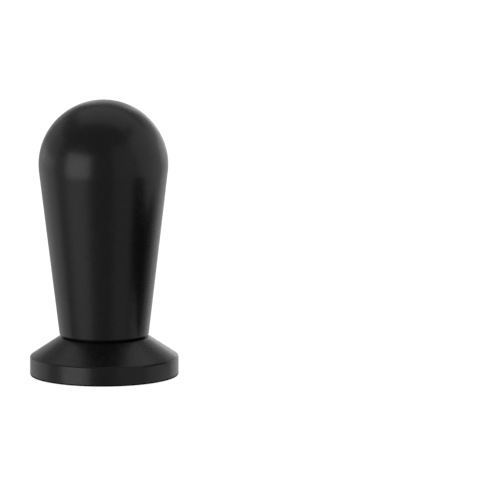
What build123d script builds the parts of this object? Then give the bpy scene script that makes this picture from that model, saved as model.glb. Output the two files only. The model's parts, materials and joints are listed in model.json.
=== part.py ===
from build123d import *
import math
import os

# Cabinet knob in two coated metal pieces, standing on its foot: a slim tapered handle with a round
# head screws onto a small flared foot. The knob's own axis is Z. The origin is the middle of the
# foot's back, the face that goes against the furniture. All sizes are in millimetres.

# Driving dimensions
knob_height = 28.0
head_diameter = 13.1
neck_diameter = 9.0
foot_diameter = 15.0
foot_height = 3.9
foot_rim_height = 1.9
washer_thickness = 0.2
washer_diameter = 8.2

# Edges
rim_edge_radius = 0.25
back_edge_radius = 0.15
foot_neck_edge_radius = 0.1
handle_edge_radius = 0.15
thread_chamfer = 0.3

# Shallow relief in the back of the foot, so that only a ring near its rim touches the furniture
back_relief_diameter = 11.8
back_relief_depth = 0.4

# Thread that joins the handle's sleeve to the foot: M6 x 0.75, drawn as plain walls that run freely
joint_thread_diameter = 6.0
joint_thread_pitch = 0.75
running_clearance = 0.05
turns_to_unscrew = 4

# Thread for the furniture's own screw: M4, drawn at its tapping diameter
furniture_thread_bore = 3.3

# Steel sleeve pressed into the handle, and the drilled hole that holds it
sleeve_length = 12.0
drill_space_past_sleeve = 1.0
drill_point_angle = 118.0

# Worked out from the above
rim_radius = foot_diameter / 2
neck_radius = neck_diameter / 2
head_radius = head_diameter / 2
head_centre_height = knob_height - head_radius
handle_bottom = foot_height + washer_thickness
taper_depth = head_centre_height - handle_bottom
taper_reach = math.hypot(neck_radius, taper_depth)
head_start = math.atan2(taper_depth, neck_radius) - math.acos(head_radius / taper_reach)
foot_bore_radius = joint_thread_diameter / 2
sleeve_radius = foot_bore_radius - running_clearance
sleeve_bottom = back_relief_depth
sleeve_top = sleeve_bottom + sleeve_length
drill_shoulder = sleeve_top + drill_space_past_sleeve
drill_tip = drill_shoulder + sleeve_radius / math.tan(math.radians(drill_point_angle / 2))
unscrewing_lift = turns_to_unscrew * joint_thread_pitch
thread_left_when_lifted = foot_height - sleeve_bottom - unscrewing_lift


def turned(outline):
    """A solid turned about Z from a closed outline of radius against height."""
    return revolve(Plane.XZ * make_face(outline.edges()), axis=Axis.Z)


def edges_at(solid, radius, height):
    """The circular edges of a turned solid with this radius at this height."""
    tolerance = 1e-4
    circles = solid.edges().filter_by(GeomType.CIRCLE)
    return [
        edge
        for edge in circles
        if abs(edge.radius - radius) < tolerance and abs(edge.arc_center.Z - height) < tolerance
    ]


def make_foot():
    """Flared foot: a short cylindrical rim, a cone up to the neck and a threaded hole through it."""
    relief_radius = back_relief_diameter / 2
    outline = Polyline(
        (foot_bore_radius, back_relief_depth),
        (relief_radius, back_relief_depth),
        (relief_radius, 0),
        (rim_radius, 0),
        (rim_radius, foot_rim_height),
        (neck_radius, foot_height),
        (foot_bore_radius, foot_height),
        close=True,
    )
    foot = turned(outline)
    foot = fillet(edges_at(foot, rim_radius, 0), back_edge_radius)
    foot = fillet(edges_at(foot, rim_radius, foot_rim_height), rim_edge_radius)
    foot = fillet(edges_at(foot, neck_radius, foot_height), foot_neck_edge_radius)
    return chamfer(edges_at(foot, foot_bore_radius, foot_height), thread_chamfer)


def make_washer():
    """Thin washer, narrower than the neck, which leaves a fine groove between handle and foot."""
    ring = Circle(washer_diameter / 2) - Circle(foot_bore_radius)
    return Pos(0, 0, foot_height) * extrude(ring, washer_thickness)


def make_handle():
    """Solid tapered handle that runs smoothly into a round head, drilled to hold the sleeve."""
    head_foot = head_centre_height - head_radius * math.sin(head_start)
    lower_outline = Polyline(
        (0, drill_tip),
        (sleeve_radius, drill_shoulder),
        (sleeve_radius, handle_bottom),
        (neck_radius, handle_bottom),
        (head_radius * math.cos(head_start), head_foot),
    )
    start_angle = math.degrees(head_start)
    head_outline = CenterArc((0, head_centre_height), head_radius, -start_angle, 90 + start_angle)
    axis_line = Line((0, knob_height), (0, drill_tip))
    handle = turned(lower_outline + head_outline + axis_line)
    return fillet(edges_at(handle, neck_radius, handle_bottom), handle_edge_radius)


def make_threaded_sleeve():
    """Steel sleeve: M6 outside to screw into the foot, M4 inside for the furniture's screw."""
    bore_radius = furniture_thread_bore / 2
    wall = Circle(sleeve_radius) - Circle(bore_radius)
    sleeve = Pos(0, 0, sleeve_bottom) * extrude(wall, sleeve_length)
    return chamfer(edges_at(sleeve, sleeve_radius, sleeve_bottom), thread_chamfer)


pieces = {
    "foot": make_foot(),
    "washer": make_washer(),
    "handle": make_handle(),
    "threaded_sleeve": make_threaded_sleeve(),
}
os.makedirs("parts", exist_ok=True)
for name, solid in pieces.items():
    export_step(solid, f"parts/{name}.step")
print(f"lift {unscrewing_lift} mm, thread left in the foot {thread_left_when_lifted:.2f} mm")
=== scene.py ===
import json
import math
import bmesh
import bpy
from mathutils import Matrix, Vector


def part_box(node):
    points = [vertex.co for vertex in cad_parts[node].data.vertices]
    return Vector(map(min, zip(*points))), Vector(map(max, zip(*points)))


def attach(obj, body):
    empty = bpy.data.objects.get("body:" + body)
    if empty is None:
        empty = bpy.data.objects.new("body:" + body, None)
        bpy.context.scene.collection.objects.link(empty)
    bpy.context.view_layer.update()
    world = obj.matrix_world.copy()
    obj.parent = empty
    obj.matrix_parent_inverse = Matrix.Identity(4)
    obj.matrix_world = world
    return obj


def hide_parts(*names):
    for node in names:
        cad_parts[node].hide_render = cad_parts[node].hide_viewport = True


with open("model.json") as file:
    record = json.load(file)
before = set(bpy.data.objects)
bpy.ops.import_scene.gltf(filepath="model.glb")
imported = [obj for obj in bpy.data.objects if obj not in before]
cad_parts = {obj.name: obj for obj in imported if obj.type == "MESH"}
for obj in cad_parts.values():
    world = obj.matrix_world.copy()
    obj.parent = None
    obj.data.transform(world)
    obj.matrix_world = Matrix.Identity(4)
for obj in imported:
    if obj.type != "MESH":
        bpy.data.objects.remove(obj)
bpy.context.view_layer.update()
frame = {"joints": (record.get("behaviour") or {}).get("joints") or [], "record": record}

# A satin black cabinet knob, made as smooth turned meshes with cut threads and procedural finishes
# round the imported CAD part. Everything is in metres. The knob's axis is Z, and the back of its foot
# is at height zero.

MM = 0.001
MICRON = 0.000001

# ------------------------------------------------------------------ sizes read from the CAD part

foot_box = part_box("foot")
washer_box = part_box("washer")
handle_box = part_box("handle")
sleeve_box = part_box("threaded_sleeve")

rim_radius = foot_box[1].x
foot_top = foot_box[1].z
washer_radius = washer_box[1].x
head_radius = handle_box[1].x
handle_bottom = handle_box[0].z
knob_top = handle_box[1].z
sleeve_radius = sleeve_box[1].x
sleeve_bottom = sleeve_box[0].z
sleeve_top = sleeve_box[1].z
screw_mount = next(m for m in frame["record"]["mounts"] if m["name"] == "furniture_screw")
screw_bore_radius = screw_mount["dims"]["r_mm"] * MM
lift_joint = next(j for j in frame["joints"] if j["name"] == "handle_lift")
turn_joint = next(j for j in frame["joints"] if j["name"] == "handle_turn")
joint_pitch = lift_joint["range_m"][1] / (turn_joint["range_deg"][1] / 360)

# ------------------------------------------------------------------ the design's other sizes

neck_radius = 4.5 * MM
rim_height = 1.9 * MM
rim_top_edge = 0.25 * MM
rim_back_edge = 0.15 * MM
foot_neck_edge = 0.1 * MM
handle_edge = 0.15 * MM
back_relief_radius = 5.9 * MM
back_relief_depth = 0.4 * MM
back_relief_edge = 0.08 * MM
foot_bore_radius = 3.0 * MM
thread_chamfer = 0.3 * MM
back_chamfer = 0.15 * MM
washer_edge = 0.04 * MM
drill_space = 1.0 * MM
drill_half_angle = math.radians(59)

# Both threads: the flat crest's share of the pitch, and how softly the flats meet the flanks
crest_share = 1 / 8
thread_edge = 0.02 * MM

# The M6 x 0.75 thread that joins the sleeve to the foot
joint_thread_depth = 0.46 * MM
foot_thread_radius = 2.6 * MM
thread_play = 0.05 * MM
undercut_radius = 2.42 * MM
undercut_height = 0.3 * MM

# The M4 x 0.7 thread for the furniture's own screw
screw_pitch = 0.7 * MM
screw_thread_radius = 1.98 * MM

# ------------------------------------------------------------------ how finely it is all drawn

AROUND = 192
AROUND_THREADS = 96
AROUND_FLAG = 48
ROWS_PER_PITCH = 24
HEAD_STEPS = 60
FLAG_HEAD_STEPS = 24
DISC_CORNERS = 60
SHARP_ANGLE = math.radians(24)
MERGE_DISTANCE = MICRON / 10

FULL_TURN = 2 * math.pi
FLANK_SLOPE = math.tan(math.radians(60))

# ------------------------------------------------------------------ outlines


def straight(start, end, steps):
    """Points from start to just before end, closer together near both ends."""
    points = []
    for i in range(steps):
        share = (1 - math.cos(math.pi * i / steps)) / 2
        points.append(Vector(start).lerp(Vector(end), share))
    return points


def arc(centre, radius, first_angle, last_angle, steps):
    """Points on a round stretch, both ends included. Angles are in degrees."""
    points = []
    for i in range(steps + 1):
        angle = math.radians(first_angle + (last_angle - first_angle) * i / steps)
        points.append(Vector(centre) + radius * Vector((math.cos(angle), math.sin(angle))))
    return points


def rounded(before, corner, after, radius, steps=8):
    """The corner of an outline as a tangent arc's points, both ends included."""
    before, corner, after = Vector(before), Vector(corner), Vector(after)
    back = (before - corner).normalized()
    onward = (after - corner).normalized()
    half = back.angle(onward) / 2
    centre = corner + (back + onward).normalized() * (radius / math.sin(half))
    reach = radius / math.tan(half)
    first = corner + back * reach - centre
    last = corner + onward * reach - centre
    turn = math.atan2(first.cross(last), first.dot(last))
    points = []
    for i in range(steps + 1):
        points.append(centre + Matrix.Rotation(turn * i / steps, 2) @ first)
    return points


def sides(*stretches, steps=14):
    """Joins stretches of points with straight sides. The outline is left open."""
    points = []
    for stretch, following in zip(stretches, stretches[1:]):
        points += stretch[:-1]
        points += straight(stretch[-1], following[0], steps)
    return points + stretches[-1]


# ------------------------------------------------------------------ threads


def past(edge, distance):
    """How far a distance reaches past an edge, with a soft start where the edge is rounded."""
    reach = distance - edge
    return (reach + math.hypot(reach, thread_edge)) / 2


def fall(height, angle, pitch, depth):
    """How far a right-hand thread of this depth lies in from its crests, which are flat on top."""
    turns = height / pitch - angle / FULL_TURN
    from_crest = abs(turns - round(turns)) * pitch
    flank_start = pitch * crest_share / 2
    flank_end = flank_start + depth / FLANK_SLOPE
    return FLANK_SLOPE * (past(flank_start, from_crest) - past(flank_end, from_crest))


def sleeve_outside(limit, height, angle):
    """Radius of the M6 fine thread on the sleeve, no higher than limit."""
    return min(limit, sleeve_radius - fall(height, angle, joint_pitch, joint_thread_depth))


def foot_inside(limit, height, angle):
    """Radius of the foot's inside thread, which clears the sleeve's thread by its play."""
    root = sleeve_radius + thread_play
    return max(limit, root - fall(height, angle, joint_pitch, root - foot_thread_radius))


def screw_inside(limit, height, angle):
    """Radius of the M4 thread inside the sleeve."""
    depth = screw_thread_radius - screw_bore_radius
    return max(limit, screw_thread_radius - fall(height, angle, screw_pitch, depth))


def limit_at(limits, height):
    """Radius at a height on a line through (height, radius) points in rising order."""
    for (low, low_radius), (high, high_radius) in zip(limits, limits[1:]):
        if height <= high:
            share = max(0.0, (height - low) / (high - low))
            return low_radius + (high_radius - low_radius) * share
    return limits[-1][1]


# ------------------------------------------------------------------ turned meshes

# A turned mesh is a list of rows. A row is a function that gives a radius and a height for an
# angle about Z, with a mark that says whether it is part of a thread.


def level_row(point):
    """A row that stays at one radius and height."""
    return lambda angle: (point[0], point[1])


def climbing_row(start, pitch, limits, shape):
    """A row that climbs by a pitch in each turn, but not past the two ends of its thread."""
    low, high = limits[0][0], limits[-1][0]

    def place(angle):
        height = min(high, max(low, start + pitch * angle / FULL_TURN))
        return shape(limit_at(limits, height), height, angle), height

    return place


def plain(points):
    """The rows of a stretch with no thread."""
    return [(level_row(point), False) for point in points]


def thread_rows(pitch, limits, shape):
    """The rows of a thread, from low to high. limits are (height, radius) points of its chamfers."""
    low, high = limits[0][0], limits[-1][0]
    count = math.ceil(((high - low) / pitch + 1) * ROWS_PER_PITCH)
    starts = [low + (i / ROWS_PER_PITCH - 1) * pitch for i in range(count + 1)]
    return [(climbing_row(start, pitch, limits, shape), True) for start in starts]


def row_places(row, around):
    """A row's vertices. Its last one meets the first, or the row that lies a pitch above it."""
    places = []
    for k in range(around + 1):
        angle = FULL_TURN * k / around
        radius, height = row(angle)
        places.append((radius * math.cos(angle), radius * math.sin(angle), height))
    return places


def turned(name, rows, around, closed, materials):
    """A smooth solid turned from rows. If it is closed, its last row joins the first. Threaded
    stretches take the last material."""
    vertices, faces, slots = [], [], []
    for row, threaded in rows:
        vertices += row_places(row, around)
    for i in range(len(rows) if closed else len(rows) - 1):
        following = (i + 1) % len(rows)
        threaded = rows[i][1] and rows[following][1]
        for k in range(around):
            corner = i * (around + 1) + k
            above = following * (around + 1) + k
            faces.append((corner, corner + 1, above + 1, above))
            slots.append(len(materials) - 1 if threaded else 0)
    mesh = bpy.data.meshes.new(name)
    mesh.from_pydata(vertices, [], faces)
    for material in materials:
        mesh.materials.append(material)
    mesh.polygons.foreach_set("material_index", slots)
    work = bmesh.new()
    work.from_mesh(mesh)
    bmesh.ops.remove_doubles(work, verts=work.verts, dist=MERGE_DISTANCE)
    bmesh.ops.recalc_face_normals(work, faces=work.faces)
    work.to_mesh(mesh)
    work.free()
    mesh.shade_smooth()
    mesh.set_sharp_from_angle(angle=SHARP_ANGLE)
    piece = bpy.data.objects.new(name, mesh)
    bpy.context.scene.collection.objects.link(piece)
    return piece


# ------------------------------------------------------------------ materials

# Most of the noise lies between these two values.
NOISE_LOW = 0.3
NOISE_HIGH = 0.7


class Finish:
    """A procedural material whose textures follow the piece's own coordinates, sized in metres."""

    def __init__(self, name):
        self.material = bpy.data.materials.new(name)
        self.material.use_nodes = True
        self.nodes = self.material.node_tree.nodes
        self.links = self.material.node_tree.links
        self.shader = self.nodes["Principled BSDF"]
        self.place = self.nodes.new("ShaderNodeTexCoord").outputs["Object"]

    def stretched(self, x, y, z):
        """Coordinates scaled along each axis, for marks that run one way."""
        mapping = self.nodes.new("ShaderNodeMapping")
        mapping.inputs["Scale"].default_value = (x, y, z)
        self.links.new(self.place, mapping.inputs["Vector"])
        return mapping.outputs["Vector"]

    def noise(self, size, detail=2.0, place=None):
        """Soft noise whose features are about this size."""
        node = self.nodes.new("ShaderNodeTexNoise")
        node.inputs["Scale"].default_value = 1 / size
        node.inputs["Detail"].default_value = detail
        self.links.new(place or self.place, node.inputs["Vector"])
        return node.outputs["Fac"]

    def spread(self, value, low, high):
        """Noise turned into a range of values."""
        node = self.nodes.new("ShaderNodeMapRange")
        node.inputs["From Min"].default_value = NOISE_LOW
        node.inputs["From Max"].default_value = NOISE_HIGH
        node.inputs["To Min"].default_value = low
        node.inputs["To Max"].default_value = high
        self.links.new(value, node.inputs["Value"])
        return node.outputs["Result"]

    def colour(self, value, dark, light):
        """Base colour between two tones, by noise."""
        node = self.nodes.new("ShaderNodeMix")
        node.data_type = "RGBA"
        node.inputs["A"].default_value = (*dark, 1)
        node.inputs["B"].default_value = (*light, 1)
        self.links.new(self.spread(value, 0, 1), node.inputs["Factor"])
        self.links.new(node.outputs["Result"], self.shader.inputs["Base Color"])

    def roughness(self, value, low, high):
        """Roughness between two values, by noise."""
        self.links.new(self.spread(value, low, high), self.shader.inputs["Roughness"])

    def relief(self, *layers):
        """Bumps from (height, depth in metres) pairs, one on the next."""
        normal = None
        for height, depth in layers:
            bump = self.nodes.new("ShaderNodeBump")
            bump.inputs["Distance"].default_value = depth
            self.links.new(height, bump.inputs["Height"])
            if normal:
                self.links.new(normal, bump.inputs["Normal"])
            normal = bump.outputs["Normal"]
        self.links.new(normal, self.shader.inputs["Normal"])


def grey(value):
    """A colour with the same value in red, green and blue."""
    return (value, value, value)


def satin_black_coat(name):
    """Powder coat: black, satin, with a fine orange peel and a finer grain."""
    finish = Finish(name)
    tone = finish.noise(size=0.8 * MM)
    gloss = finish.noise(size=0.5 * MM, detail=3)
    orange_peel = finish.noise(size=0.32 * MM)
    grain = finish.noise(size=0.07 * MM)
    finish.shader.inputs["IOR"].default_value = 1.5
    finish.colour(tone, dark=grey(0.003), light=grey(0.006))
    finish.roughness(gloss, low=0.25, high=0.31)
    finish.relief((orange_peel, 0.9 * MICRON), (grain, 0.2 * MICRON))
    return finish.material


def turned_steel(name):
    """Zinc-plated steel with fine marks left by turning."""
    finish = Finish(name)
    marks = finish.noise(size=0.9 * MM, detail=3, place=finish.stretched(1, 1, 22))
    tone = finish.noise(size=0.6 * MM)
    grain = finish.noise(size=0.05 * MM)
    finish.shader.inputs["Metallic"].default_value = 1
    finish.colour(tone, dark=(0.55, 0.55, 0.53), light=(0.70, 0.69, 0.66))
    finish.roughness(marks, low=0.24, high=0.38)
    finish.relief((marks, 1.2 * MICRON), (grain, 0.3 * MICRON))
    return finish.material


def bare_zinc(name):
    """The casting's own metal, where a thread is cut through the coat."""
    finish = Finish(name)
    tone = finish.noise(size=0.4 * MM)
    gloss = finish.noise(size=0.2 * MM, detail=3)
    grain = finish.noise(size=0.1 * MM)
    finish.shader.inputs["Metallic"].default_value = 1
    finish.colour(tone, dark=(0.30, 0.31, 0.32), light=(0.44, 0.45, 0.46))
    finish.roughness(gloss, low=0.38, high=0.52)
    finish.relief((grain, 1.0 * MICRON))
    return finish.material


def black_polymer(name):
    """Dull black washer stock with a slight grain."""
    finish = Finish(name)
    tone = finish.noise(size=0.3 * MM)
    gloss = finish.noise(size=0.15 * MM, detail=3)
    grain = finish.noise(size=0.06 * MM)
    finish.shader.inputs["Specular IOR Level"].default_value = 0.15
    finish.colour(tone, dark=grey(0.003), light=grey(0.006))
    finish.roughness(gloss, low=0.55, high=0.7)
    finish.relief((grain, 1.5 * MICRON))
    return finish.material


# ------------------------------------------------------------------ the four pieces


def make_foot():
    """Flared foot with rounded edges, a relieved back and the thread that takes the sleeve."""
    relief = (back_relief_radius, back_relief_depth)
    relief_lip = (back_relief_radius, 0)
    rim_bottom = (rim_radius, 0)
    rim_top = (rim_radius, rim_height)
    neck = (neck_radius, foot_top)
    bore_back = Vector((foot_bore_radius + back_chamfer, back_relief_depth))
    bore_front = Vector((foot_bore_radius + thread_chamfer, foot_top))
    skin = sides(
        [bore_back],
        rounded(bore_back, relief, relief_lip, back_relief_edge),
        rounded(relief, relief_lip, rim_bottom, back_relief_edge),
        rounded(relief_lip, rim_bottom, rim_top, rim_back_edge),
        rounded(rim_bottom, rim_top, neck, rim_top_edge),
        rounded(rim_top, neck, bore_front, foot_neck_edge),
        [bore_front],
    )
    limits = [
        (back_relief_depth, bore_back.x),
        (back_relief_depth + back_chamfer, foot_bore_radius - thread_chamfer),
        (foot_top - 2 * thread_chamfer, foot_bore_radius - thread_chamfer),
        (foot_top, bore_front.x),
    ]
    bore = thread_rows(joint_pitch, limits, foot_inside)
    materials = [satin_black_coat("foot_satin_black"), bare_zinc("foot_bare_zinc")]
    return turned("foot_body", plain(skin) + bore[::-1], AROUND, closed=True, materials=materials)


def make_washer():
    """Thin washer with slightly rounded edges, which shows only as the dark seam."""
    low, high = washer_box[0].z, washer_box[1].z
    inside_low, outside_low = (foot_bore_radius, low), (washer_radius, low)
    outside_high, inside_high = (washer_radius, high), (foot_bore_radius, high)
    corners = [inside_low, outside_low, outside_high, inside_high]
    edges = []
    for before, corner, after in zip(corners[-1:] + corners, corners, corners[1:] + corners[:1]):
        edges.append(rounded(before, corner, after, washer_edge, steps=4))
    outline = sides(*edges, edges[0][:1], steps=6)
    materials = [black_polymer("washer_black")]
    return turned("seam_washer", plain(outline[:-1]), AROUND_THREADS, closed=True, materials=materials)


def head_outline(steps):
    """Outline of the round head, from where the taper runs smoothly into it up to the top."""
    centre = Vector((0, knob_top - head_radius))
    reach = Vector((neck_radius, handle_bottom)) - centre
    down = math.atan2(-reach.y, reach.x)
    taper_end = math.degrees(down - math.acos(head_radius / reach.length))
    return arc(centre, head_radius, -taper_end, 90, steps)[:-1] + [Vector((0, knob_top))]


def make_handle():
    """Tapered handle with a round head and the drilled hole that holds the sleeve."""
    shoulder = (sleeve_radius, sleeve_top + drill_space)
    drill_tip = (0, shoulder[1] + sleeve_radius / math.tan(drill_half_angle))
    mouth = (sleeve_radius, handle_bottom)
    neck = (neck_radius, handle_bottom)
    head = head_outline(HEAD_STEPS)
    outline = sides(
        [Vector(drill_tip)],
        [Vector(shoulder)],
        [Vector(mouth)],
        rounded(mouth, neck, head[0], handle_edge),
        head,
        steps=20,
    )
    materials = [satin_black_coat("handle_satin_black")]
    return turned("handle_body", plain(outline), AROUND, closed=False, materials=materials)


def make_sleeve():
    """Steel sleeve with an M6 fine thread outside, a plain pressed part above it and M4 inside."""
    mouth_radius = screw_bore_radius + thread_chamfer
    undercut_bottom = handle_bottom - undercut_height
    outside_limits = [
        (sleeve_bottom, sleeve_radius - thread_chamfer),
        (sleeve_bottom + thread_chamfer, sleeve_radius),
        (undercut_bottom - thread_chamfer / 2, sleeve_radius),
        (undercut_bottom, undercut_radius),
    ]
    inside_limits = [
        (sleeve_bottom, mouth_radius),
        (sleeve_bottom + thread_chamfer, screw_bore_radius),
        (sleeve_top - thread_chamfer, screw_bore_radius),
        (sleeve_top, mouth_radius),
    ]
    threaded = thread_rows(joint_pitch, outside_limits, sleeve_outside)
    shank = sides(
        [Vector((undercut_radius, undercut_bottom))],
        [Vector((undercut_radius, handle_bottom))],
        [Vector((sleeve_radius, handle_bottom))],
        [Vector((sleeve_radius, sleeve_top))],
        [Vector((mouth_radius, sleeve_top))],
        steps=10,
    )
    bore = thread_rows(screw_pitch, inside_limits, screw_inside)
    rows = threaded + plain(shank) + bore[::-1]
    materials = [turned_steel("sleeve_zinc_plated")]
    return turned("sleeve_thread", rows, AROUND_THREADS, closed=True, materials=materials)


for piece, body, node, slot in (
    (make_foot(), "foot", "foot", "foot_coat"),
    (make_washer(), "washer", "washer", "washer_polymer"),
    (make_handle(), "handle", "handle", "handle_coat"),
    (make_sleeve(), "handle", "threaded_sleeve", "sleeve_steel"),
):
    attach(piece, body)
    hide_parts(node)

# ------------------------------------------------------------------ camera

# foot_from_camera is measured along the camera's own axes: to the right, up and backwards.
focal_length_mm = 1443.6
sensor_width_mm = 36.0
camera_pitch = math.radians(9.508)
camera_roll = math.radians(-0.201)
foot_from_camera = Vector((-14.705 * MM, -12.523 * MM, -2024.6 * MM))
nearest_seen = 0.1
farthest_seen = 20


def make_camera():
    """A long lens two metres off that looks slightly down, with the knob left of centre."""
    data = bpy.data.cameras.new("camera")
    data.lens = focal_length_mm
    data.sensor_width = sensor_width_mm
    data.clip_start = nearest_seen
    data.clip_end = farthest_seen
    camera = bpy.data.objects.new("camera", data)
    turn = Matrix.Rotation(math.pi / 2 - camera_pitch, 4, "X") @ Matrix.Rotation(camera_roll, 4, "Z")
    place = turn @ -foot_from_camera
    camera.matrix_world = Matrix.Translation(place) @ turn
    bpy.context.scene.collection.objects.link(camera)
    bpy.context.scene.camera = camera


make_camera()

# ------------------------------------------------------------------ studio

middle = Vector((0, 0, knob_top / 2))
light_distance = 0.7
world_radiance = 0.22

floor_reach = 5
floor_tone = 0.4
floor_glow = 0.9
floor_height = -10 * MICRON
# Painted contact shadow: a black disc, seen by the camera, in the gap under the foot's rounded back
# edge, set in a little from the rim.
painted_shadow_height = -5 * MICRON
painted_shadow_inset = 0.06 * MM
# Painted shade seen only in reflections: a black disc reaching this far past the rim darkens the
# foot's lower edge in the coat.
mirrored_shade_margin = 0.3 * MM

# The way that the flag's head points, in degrees, and where its foot lies
flag_azimuth = 39
flag_elevation = -2.6
flag_foot = Vector((16.5 * MM, 1.4 * MM, rim_radius))

# Each softbox's azimuth, elevation, width and height in degrees as seen from the knob, then its
# radiance.
SOFTBOXES = {
    "key": (-46.5, 2.5, 45, 41, 1.38),
    "key_low": (-56, -26, 42, 16, 0.22),
    "left_gap": (-84, -3, 28, 36, 0.14),
    "left_rim": (-123, -10, 51, 32, 0.48),
    "left_high": (-118, 15, 50, 38, 0.28),
    "front_fill": (41, 6, 44, 68, 0.2),
    "right_fill": (94, 13, 58, 72, 0.41),
    "right_rim": (150, -5, 46, 34, 0.62),
    "right_high": (145, 13, 44, 34, 0.3),
    "back": (175, 13, 27, 38, 0.6),
    "back_left": (-164, 3, 26, 38, 0.36),
    "top": (170, 71, 64, 45, 0.37),
}


def towards(azimuth, elevation):
    """Direction from the knob. Azimuth 0 is the camera's side and 90 its right, in degrees."""
    azimuth, elevation = math.radians(azimuth), math.radians(elevation)
    level = math.cos(elevation)
    return Vector((math.sin(azimuth) * level, -math.cos(azimuth) * level, math.sin(elevation)))


def facing(place, direction):
    """A placement at this place whose Z axis points in this direction."""
    turn = direction.to_track_quat("Z", "Y").to_matrix().to_4x4()
    return Matrix.Translation(place) @ turn


def across(degrees):
    """Width of a softbox that looks this many degrees wide from the knob."""
    return 2 * light_distance * math.tan(math.radians(degrees) / 2)


def softbox(name, azimuth, elevation, width, height, radiance):
    """A soft rectangular light that looks width by height degrees from the knob. Its power is its
    radiance times pi times its area."""
    data = bpy.data.lights.new(name, "AREA")
    data.shape = "RECTANGLE"
    data.size = across(width)
    data.size_y = across(height)
    data.energy = radiance * math.pi * data.size * data.size_y
    direction = towards(azimuth, elevation)
    light = bpy.data.objects.new(name, data)
    light.matrix_world = facing(middle + direction * light_distance, direction)
    light.visible_camera = False
    bpy.context.scene.collection.objects.link(light)


def plain_shader(name, colour, emission):
    """A flat, unglossy studio surface."""
    material = bpy.data.materials.new(name)
    material.use_nodes = True
    shader = material.node_tree.nodes["Principled BSDF"]
    shader.inputs["Base Color"].default_value = (*grey(colour), 1)
    shader.inputs["Roughness"].default_value = 1
    shader.inputs["Specular IOR Level"].default_value = 0
    shader.inputs["Emission Color"].default_value = (1, 1, 1, 1)
    shader.inputs["Emission Strength"].default_value = emission
    return material


def studio_sheet(name, outline, place, material):
    """A flat sheet of the studio with this outline, laid in the place's XY plane."""
    mesh = bpy.data.meshes.new(name)
    mesh.from_pydata([(*point, 0) for point in outline], [], [range(len(outline))])
    mesh.materials.append(material)
    sheet = bpy.data.objects.new(name, mesh)
    sheet.matrix_world = place
    sheet.visible_diffuse = False
    sheet.visible_shadow = False
    bpy.context.scene.collection.objects.link(sheet)
    return sheet


def disc(radius):
    """Outline of a round sheet."""
    return arc((0, 0), radius, 0, 360, DISC_CORNERS)[:-1]


def make_floor():
    """Plain pale floor with painted contact shadow: a black disc that the camera sees in the gap under
    the foot's rounded edge, and a wider black disc that only the coat mirrors, as a painted dark line
    of shade round the foot."""
    square = [
        (-floor_reach, -floor_reach),
        (floor_reach, -floor_reach),
        (floor_reach, floor_reach),
        (-floor_reach, floor_reach),
    ]
    floor_place = Matrix.Translation((0, 0, floor_height))
    gap_place = Matrix.Translation((0, 0, painted_shadow_height))
    # Black, unlit material for both discs of painted shade.
    dark = plain_shader("painted_contact_shade", colour=0, emission=0)
    pale = plain_shader("pale_floor", floor_tone, floor_glow)
    floor = studio_sheet("floor", square, floor_place, pale)
    floor.visible_glossy = False
    # Painted shade: a black disc that only reflections see, mirrored in the coat as a dark line along
    # the foot's lower edge.
    line = studio_sheet("mirrored_contact_shade", disc(rim_radius + mirrored_shade_margin), floor_place, dark)
    line.visible_camera = False
    # Painted shadow: a black disc that the camera sees under the rim's rounded edge, where the floor
    # would lie in shade.
    gap = studio_sheet("painted_contact_shadow", disc(rim_radius - painted_shadow_inset), gap_place, dark)
    gap.visible_glossy = False


def make_flag():
    """Dark flag of the knob's own outline that lies to the right, in the same coat. It is seen only
    mirrored in the coat, as a dark stripe down the right of the handle."""
    foot = [(0, 0), (rim_radius, 0), (rim_radius, rim_height), (neck_radius, foot_top)]
    rows = plain(foot + head_outline(FLAG_HEAD_STEPS))
    materials = [satin_black_coat("flag_coat")]
    flag = turned("flag", rows, AROUND_FLAG, closed=False, materials=materials)
    flag.matrix_world = facing(flag_foot, towards(flag_azimuth, flag_elevation))
    flag.visible_diffuse = False
    flag.visible_shadow = False
    flag.visible_camera = False


def make_world(radiance):
    """Even pale light from all round, with a plain white wall behind the floor."""
    world = bpy.data.worlds.new("studio")
    world.use_nodes = True
    nodes, links = world.node_tree.nodes, world.node_tree.links
    light = nodes["Background"]
    light.inputs["Color"].default_value = (1, 1, 1, 1)
    light.inputs["Strength"].default_value = radiance
    wall = nodes.new("ShaderNodeBackground")
    wall.inputs["Color"].default_value = (1, 1, 1, 1)
    seen = nodes.new("ShaderNodeLightPath")
    both = nodes.new("ShaderNodeMixShader")
    links.new(seen.outputs["Is Camera Ray"], both.inputs["Fac"])
    links.new(light.outputs["Background"], both.inputs[1])
    links.new(wall.outputs["Background"], both.inputs[2])
    links.new(both.outputs["Shader"], nodes["World Output"].inputs["Surface"])
    bpy.context.scene.world = world


make_floor()
make_flag()
make_world(world_radiance)
for light_name, light_values in SOFTBOXES.items():
    softbox(light_name, *light_values)
bpy.context.scene.view_settings.view_transform = "Standard"
